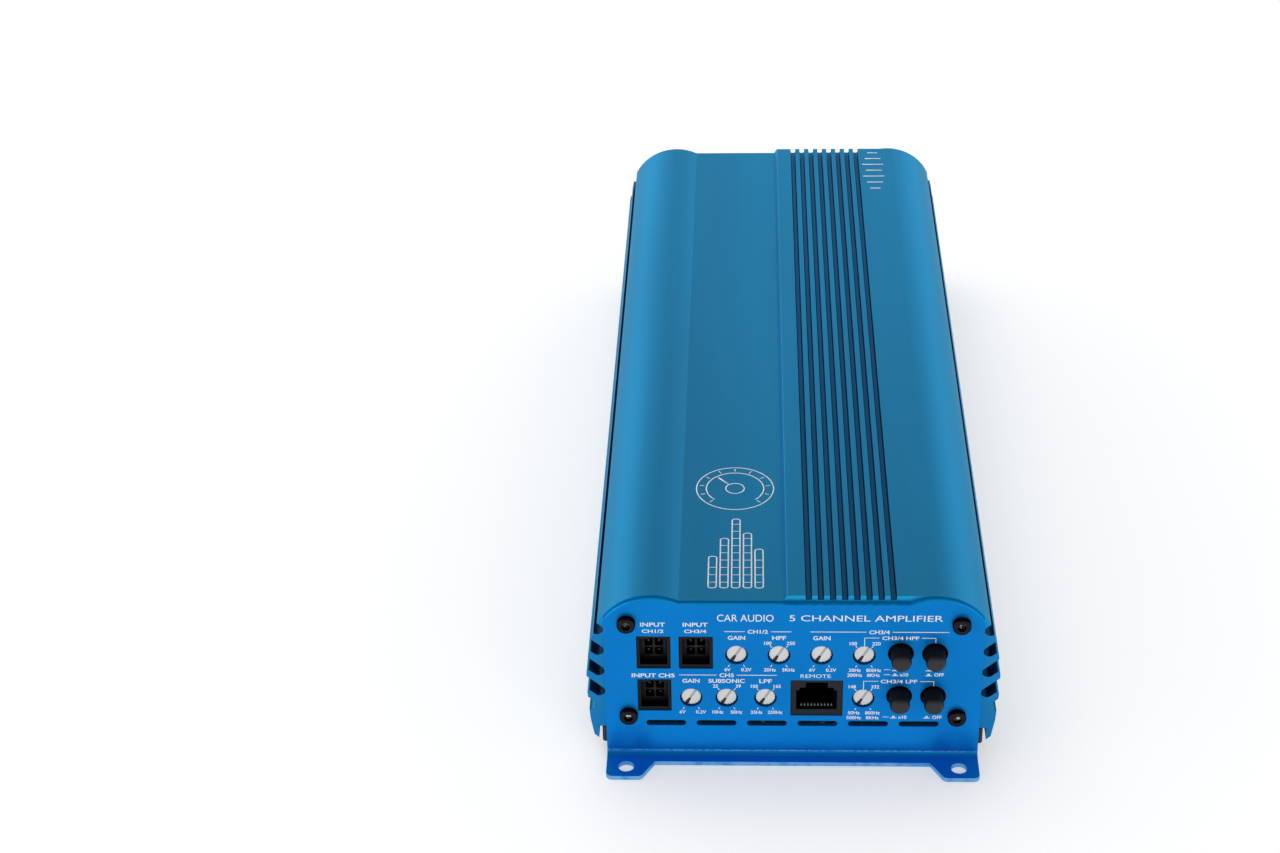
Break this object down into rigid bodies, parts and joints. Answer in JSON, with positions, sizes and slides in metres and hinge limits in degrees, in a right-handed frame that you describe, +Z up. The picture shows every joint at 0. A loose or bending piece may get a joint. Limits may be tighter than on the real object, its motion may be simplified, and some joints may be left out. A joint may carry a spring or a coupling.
{
  "type": "car amplifier",
  "caption": "Slim multi-channel car audio power amplifier: finned extruded case, folded end panels with mounting ears, front trimmers, push switches and input sockets.",
  "frame": {"origin": "on the mounting surface, under the middle of the case", "axes": "+X across the case, +Y from the control end to the terminal end, +Z up from the mounting surface"},
  "size_m": [0.1274, 0.344, 0.0613],
  "materials": {
    "anodised_blue": "satin anodised deep blue",
    "panel_blue": "satin bright blue with white print",
    "black_steel": "satin black powder coat",
    "black_oxide": "black oxide screw steel",
    "black_plastic": "moulded black nylon",
    "white_plastic": "white moulded trimmer shaft",
    "button_black": "soft black button cap",
    "contact_gold": "gold flashed contacts",
    "tinned_steel": "bright tinned terminal metal",
    "zinc_steel": "zinc plated steel",
    "board_green": "solder-masked circuit board",
    "capacitor_sleeve": "shrink-sleeved capacitor",
    "film_box": "dipped film capacitor",
    "copper_wire": "enamelled copper wire",
    "transistor_black": "moulded transistor body",
    "pad_grey": "silicone insulating pad",
    "clear_pipe": "clear moulded light pipe"
  },
  "bodies": {
    "case": {"base_screws": "black_oxide", "base_tray": "black_steel", "board_link_header": "black_plastic", "board_screws": "zinc_steel", "clamp_bars": "zinc_steel", "clamp_screws": "zinc_steel", "control_board": "board_green", "driver_card": "board_green", "film_capacitors": "film_box", "front_panel": "panel_blue", "front_panel_screws": "black_oxide", "heatsink_shell": "anodised_blue", "input_choke": "copper_wire", "input_socket_1_2": "black_plastic", "input_socket_3_4": "black_plastic", "input_socket_5": "black_plastic", "input_socket_pins": "tinned_steel", "insulator_pads": "pad_grey", "main_board": "board_green", "output_inductors": "copper_wire", "power_terminal_block": "black_plastic", "power_terminal_cages": "tinned_steel", "power_terminal_screws": "zinc_steel", "power_transformer": "copper_wire", "power_transistors_left": "transistor_black", "power_transistors_right": "transistor_black", "rail_capacitors": "capacitor_sleeve", "rear_panel": "panel_blue", "rear_panel_screws": "black_oxide", "remote_jack": "black_plastic", "remote_jack_contacts": "contact_gold", "speaker_terminal_block": "black_plastic", "speaker_terminal_cages": "tinned_steel", "speaker_terminal_screws": "zinc_steel", "status_light_pipes": "clear_pipe", "supply_capacitors": "capacitor_sleeve", "switch_body_highpass_bypass": "black_plastic", "switch_body_highpass_range": "black_plastic", "switch_body_lowpass_bypass": "black_plastic", "switch_body_lowpass_range": "black_plastic", "trimmer_body_gain_1_2": "black_plastic", "trimmer_body_gain_3_4": "black_plastic", "trimmer_body_gain_5": "black_plastic", "trimmer_body_highpass_1_2": "black_plastic", "trimmer_body_highpass_3_4": "black_plastic", "trimmer_body_lowpass_3_4": "black_plastic", "trimmer_body_lowpass_5": "black_plastic", "trimmer_body_subsonic_5": "black_plastic"},
    "trimmer_gain_1_2": {"trimmer_shaft_gain_1_2": "white_plastic"},
    "trimmer_highpass_1_2": {"trimmer_shaft_highpass_1_2": "white_plastic"},
    "trimmer_gain_3_4": {"trimmer_shaft_gain_3_4": "white_plastic"},
    "trimmer_highpass_3_4": {"trimmer_shaft_highpass_3_4": "white_plastic"},
    "trimmer_gain_5": {"trimmer_shaft_gain_5": "white_plastic"},
    "trimmer_subsonic_5": {"trimmer_shaft_subsonic_5": "white_plastic"},
    "trimmer_lowpass_5": {"trimmer_shaft_lowpass_5": "white_plastic"},
    "trimmer_lowpass_3_4": {"trimmer_shaft_lowpass_3_4": "white_plastic"},
    "button_highpass_range": {"button_cap_highpass_range": "button_black"},
    "button_highpass_bypass": {"button_cap_highpass_bypass": "button_black"},
    "button_lowpass_range": {"button_cap_lowpass_range": "button_black"},
    "button_lowpass_bypass": {"button_cap_lowpass_bypass": "button_black"}
  },
  "joints": [
    {"name": "turn_gain_1_2", "type": "hinge", "parent": "case", "child": "trimmer_gain_1_2", "pos_m": [-0.0173, -0.1605, 0.03985], "axis": [0, 1, 0], "range_deg": [0, 300]},
    {"name": "turn_highpass_1_2", "type": "hinge", "parent": "case", "child": "trimmer_highpass_1_2", "pos_m": [-0.0043, -0.1605, 0.03985], "axis": [0, 1, 0], "range_deg": [0, 300]},
    {"name": "turn_gain_3_4", "type": "hinge", "parent": "case", "child": "trimmer_gain_3_4", "pos_m": [0.0087, -0.1605, 0.03985], "axis": [0, 1, 0], "range_deg": [0, 300]},
    {"name": "turn_highpass_3_4", "type": "hinge", "parent": "case", "child": "trimmer_highpass_3_4", "pos_m": [0.02175, -0.1605, 0.03985], "axis": [0, 1, 0], "range_deg": [0, 300]},
    {"name": "turn_gain_5", "type": "hinge", "parent": "case", "child": "trimmer_gain_5", "pos_m": [-0.03135, -0.1605, 0.0234], "axis": [0, 1, 0], "range_deg": [0, 300]},
    {"name": "turn_subsonic_5", "type": "hinge", "parent": "case", "child": "trimmer_subsonic_5", "pos_m": [-0.02035, -0.1605, 0.0234], "axis": [0, 1, 0], "range_deg": [0, 300]},
    {"name": "turn_lowpass_5", "type": "hinge", "parent": "case", "child": "trimmer_lowpass_5", "pos_m": [-0.00835, -0.1605, 0.0234], "axis": [0, 1, 0], "range_deg": [0, 300]},
    {"name": "turn_lowpass_3_4", "type": "hinge", "parent": "case", "child": "trimmer_lowpass_3_4", "pos_m": [0.0218, -0.1605, 0.0234], "axis": [0, 1, 0], "range_deg": [0, 300]},
    {"name": "press_highpass_range", "type": "slide", "parent": "case", "child": "button_highpass_range", "axis": [0, 1, 0], "range_m": [0, 0.003], "stiffness_N_per_m": 400},
    {"name": "press_highpass_bypass", "type": "slide", "parent": "case", "child": "button_highpass_bypass", "axis": [0, 1, 0], "range_m": [0, 0.003], "stiffness_N_per_m": 400},
    {"name": "press_lowpass_range", "type": "slide", "parent": "case", "child": "button_lowpass_range", "axis": [0, 1, 0], "range_m": [0, 0.003], "stiffness_N_per_m": 400},
    {"name": "press_lowpass_bypass", "type": "slide", "parent": "case", "child": "button_lowpass_bypass", "axis": [0, 1, 0], "range_m": [0, 0.003], "stiffness_N_per_m": 400}
  ]
}
